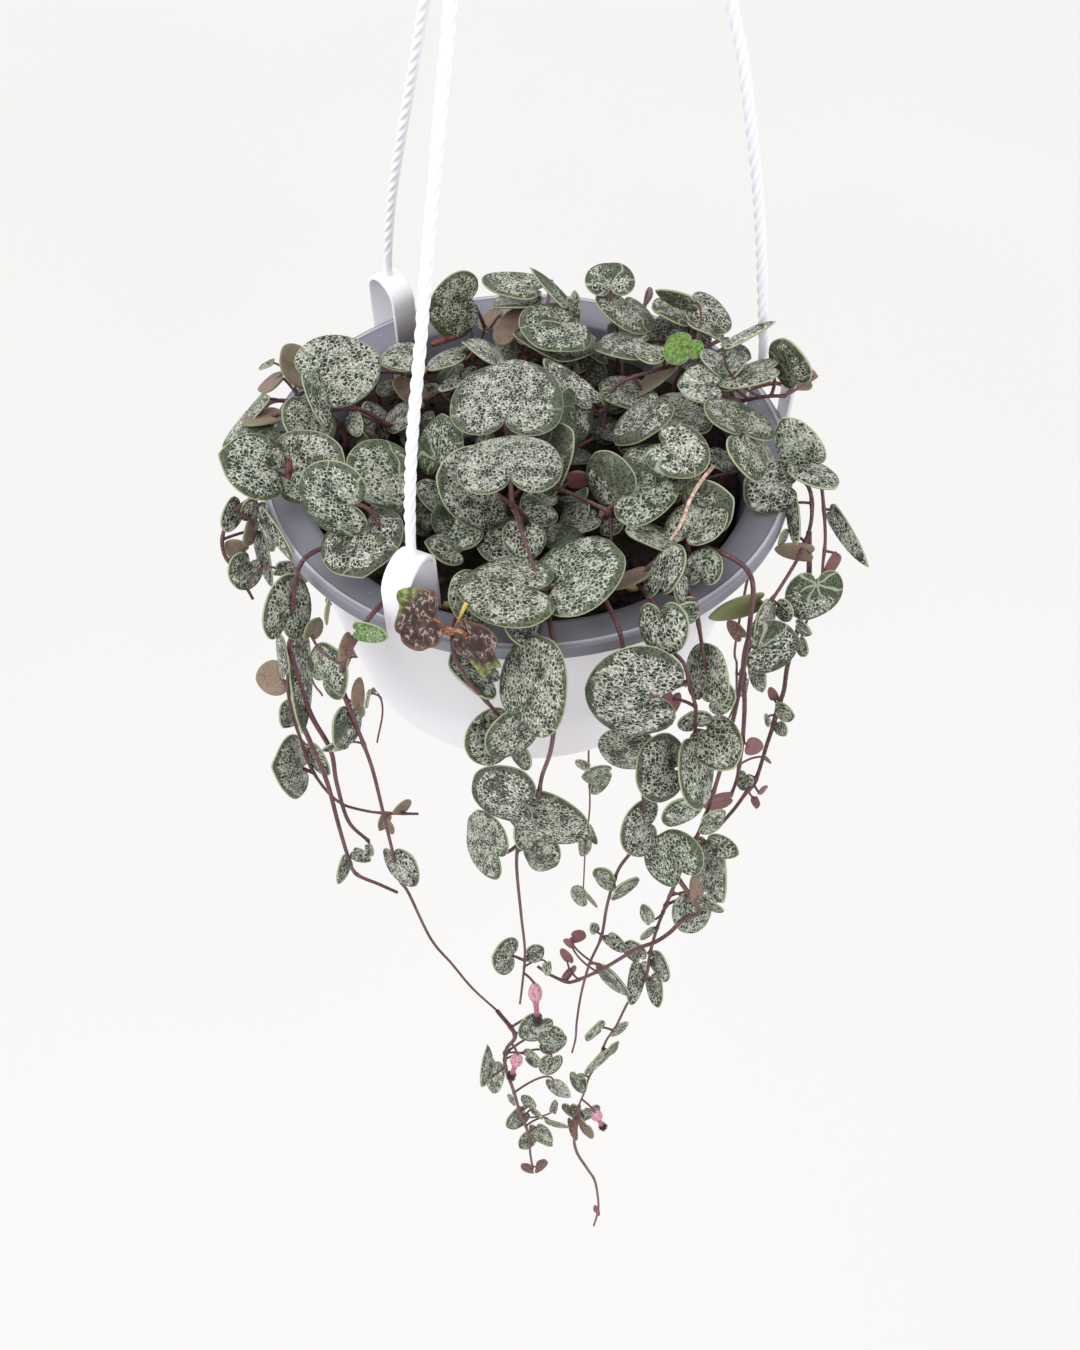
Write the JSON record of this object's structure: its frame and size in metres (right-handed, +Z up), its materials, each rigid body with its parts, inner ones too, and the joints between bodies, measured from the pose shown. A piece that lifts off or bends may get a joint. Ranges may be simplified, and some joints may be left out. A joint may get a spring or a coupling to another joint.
{
  "type": "string of hearts in hanging pot",
  "caption": "Trailing plant with small heart-shaped leaves in a hanging pot: grow pot in a white bowl, carried by twisted arms that clip over the rim and meet in a hook.",
  "frame": {"origin": "the point inside the hook's bow that bears on what it hangs from", "axes": "+Z up, -Y towards the front, +X to the right as seen from the front"},
  "size_m": [0.1602, 0.1723, 0.7128],
  "materials": {
    "white_plastic": "smooth moulded, soft gloss",
    "grey_plastic": "satin moulded",
    "potting_mix": "dark, moist and crumbly",
    "heart_leaf": "satin, silver marbling on dark green",
    "withered_leaf": "dry and brown",
    "flower": "soft, pink with a dark tip"
  },
  "bodies": {
    "root": {"bowl": "white_plastic", "grow_pot": "grey_plastic", "potting_mix": "potting_mix", "hanger_arm_right": "white_plastic", "hanger_arm_back_left": "white_plastic", "hanger_arm_front_left": "white_plastic", "hanger_hook": "white_plastic", "crown_foliage": "heart_leaf", "vine_left_rim": "heart_leaf", "vine_left_outer": "heart_leaf", "vine_left_long": "heart_leaf", "vine_front_left": "heart_leaf", "vine_front": "heart_leaf", "vine_right_front": "heart_leaf", "vine_right_small": "heart_leaf", "vine_right_under": "heart_leaf", "vine_right_mid": "heart_leaf", "vine_right_outer": "heart_leaf", "vine_right_far": "heart_leaf", "vine_right_thin": "heart_leaf", "vine_back_right": "heart_leaf", "vine_back_a": "heart_leaf", "vine_back_b": "heart_leaf", "vine_back_c": "heart_leaf", "vine_back_d": "heart_leaf", "vine_back_e": "heart_leaf", "withered_leaves": "withered_leaf", "flower_upper": "flower", "flower_middle": "flower", "flower_lower": "flower"}
  },
  "joints": []
}
